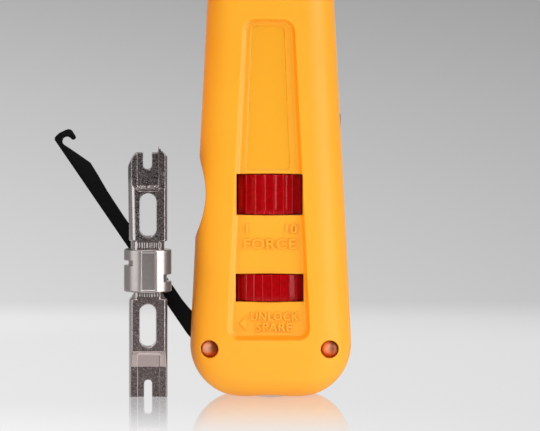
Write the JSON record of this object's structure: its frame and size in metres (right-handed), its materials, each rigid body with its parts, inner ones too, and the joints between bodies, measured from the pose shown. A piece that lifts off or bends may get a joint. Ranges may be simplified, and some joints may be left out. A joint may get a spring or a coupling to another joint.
{
  "type": "punch down tool",
  "caption": "Hand-held impact punch down tool with a moulded handle, adjuster and release wheels, twist-lock blade, fold-out wire hook and spudger, and a spare blade.",
  "frame": {"origin": "bottom centre of the bounding box of the set as it stands: butt of the handle and foot of the spare blade on z = 0, tool axis vertical at x = +13.77 mm, y = +0.758 mm", "axes": "+Z from the butt to the nose along the tool axis, -Y out of the front of the handle, +X to the right seen from the front, the folding levers turn in the plane of X and Z"},
  "size_m": [0.0603, 0.024, 0.1741],
  "materials": {
    "handle_plastic": "satin moulded plastic, golden yellow",
    "wheel_plastic": "glossy deep red plastic",
    "black_oxide": "black oxide on flat steel",
    "blade_steel": "tumbled tool steel with satin hub",
    "satin_nickel": "satin nickel plate",
    "copper_rivet": "coppery tubular rivet",
    "spring_steel": "oiled spring steel",
    "zinc_plate": "zinc plated steel",
    "dark_nylon": "dark nylon"
  },
  "bodies": {
    "handle": {"front_shell": "handle_plastic", "rear_shell": "handle_plastic", "clamp_ring": "zinc_plate", "hook_rivet": "copper_rivet", "spudger_rivet": "copper_rivet", "impact_detent_spring": "spring_steel", "release_return_spring": "spring_steel", "storage_sleeve": "dark_nylon", "main_spring": "spring_steel", "impact_barrel": "zinc_plate", "trip_ring": "spring_steel", "guide_washer": "zinc_plate", "return_spring": "spring_steel", "nose_bushing": "dark_nylon", "nose_collar": "satin_nickel"},
    "hook": {"hook_lever": "black_oxide"},
    "spudger": {"spudger_lever": "black_oxide"},
    "power_wheel": {"impact_wheel": "wheel_plastic"},
    "power_adjuster": {"adjuster_sleeve": "dark_nylon", "spring_seat": "zinc_plate"},
    "blade_release": {"release_wheel": "wheel_plastic"},
    "plunger": {"plunger_rod": "spring_steel", "blade_socket": "satin_nickel", "lock_pin_left": "spring_steel", "lock_pin_right": "spring_steel", "lock_spring": "spring_steel"},
    "impact_hammer": {"hammer": "spring_steel", "trigger_spring": "spring_steel"},
    "trigger": {"trigger_slide": "spring_steel"},
    "nose_blade": {"working_blade": "blade_steel"},
    "loose_blade": {"spare_blade": "blade_steel"}
  },
  "joints": [
    {"name": "hook_fold", "type": "hinge", "parent": "handle", "child": "hook", "pos_m": [0.00157, 0.00076, 0.0096], "axis": [0, 1, 0], "range_deg": [-57.5, 35.2]},
    {"name": "spudger_fold", "type": "hinge", "parent": "handle", "child": "spudger", "pos_m": [0.02597, 0.00076, 0.0096], "axis": [0, 1, 0], "range_deg": [0, 91]},
    {"name": "power_wheel_turn", "type": "hinge", "parent": "handle", "child": "power_wheel", "pos_m": [0.01377, 0.00076, 0.04125], "axis": [0, 0, 1], "range_deg": [-40, 40]},
    {"name": "power_adjuster_slide", "type": "slide", "parent": "handle", "child": "power_adjuster", "axis": [0, 0, 1], "range_m": [-0.0015, 0.0015]},
    {"name": "blade_release_turn", "type": "hinge", "parent": "handle", "child": "blade_release", "pos_m": [0.01377, 0.00076, 0.0222], "axis": [0, 0, 1], "range_deg": [-60, 0]},
    {"name": "plunger_slide", "type": "slide", "parent": "handle", "child": "plunger", "axis": [0, 0, 1], "range_m": [-0.008, 0], "deforming": ["return_spring"]},
    {"name": "hammer_slide", "type": "slide", "parent": "handle", "child": "impact_hammer", "axis": [0, 0, 1], "range_m": [-0.008, 0], "deforming": ["main_spring"]},
    {"name": "trigger_shift", "type": "slide", "parent": "impact_hammer", "child": "trigger", "axis": [1, 0, 0], "range_m": [-0.001, 0]},
    {"name": "nose_blade_twist", "type": "hinge", "parent": "plunger", "child": "nose_blade", "pos_m": [0.01377, 0.00076, 0.149], "axis": [0, 0, 1], "range_deg": [0, 74]},
    {"name": "spare_blade_lift", "type": "slide", "parent": "handle", "child": "loose_blade", "axis": [0, 0, 1], "range_m": [0, 0.03]}
  ],
  "couplings": [
    {"joint": "power_wheel_turn", "follows": "power_adjuster_slide", "rad_per_m": 465.12},
    {"joint": "hammer_slide", "follows": "plunger_slide", "ratio": 1},
    {"joint": "trigger_shift", "follows": "plunger_slide", "ratio": 0.125}
  ]
}
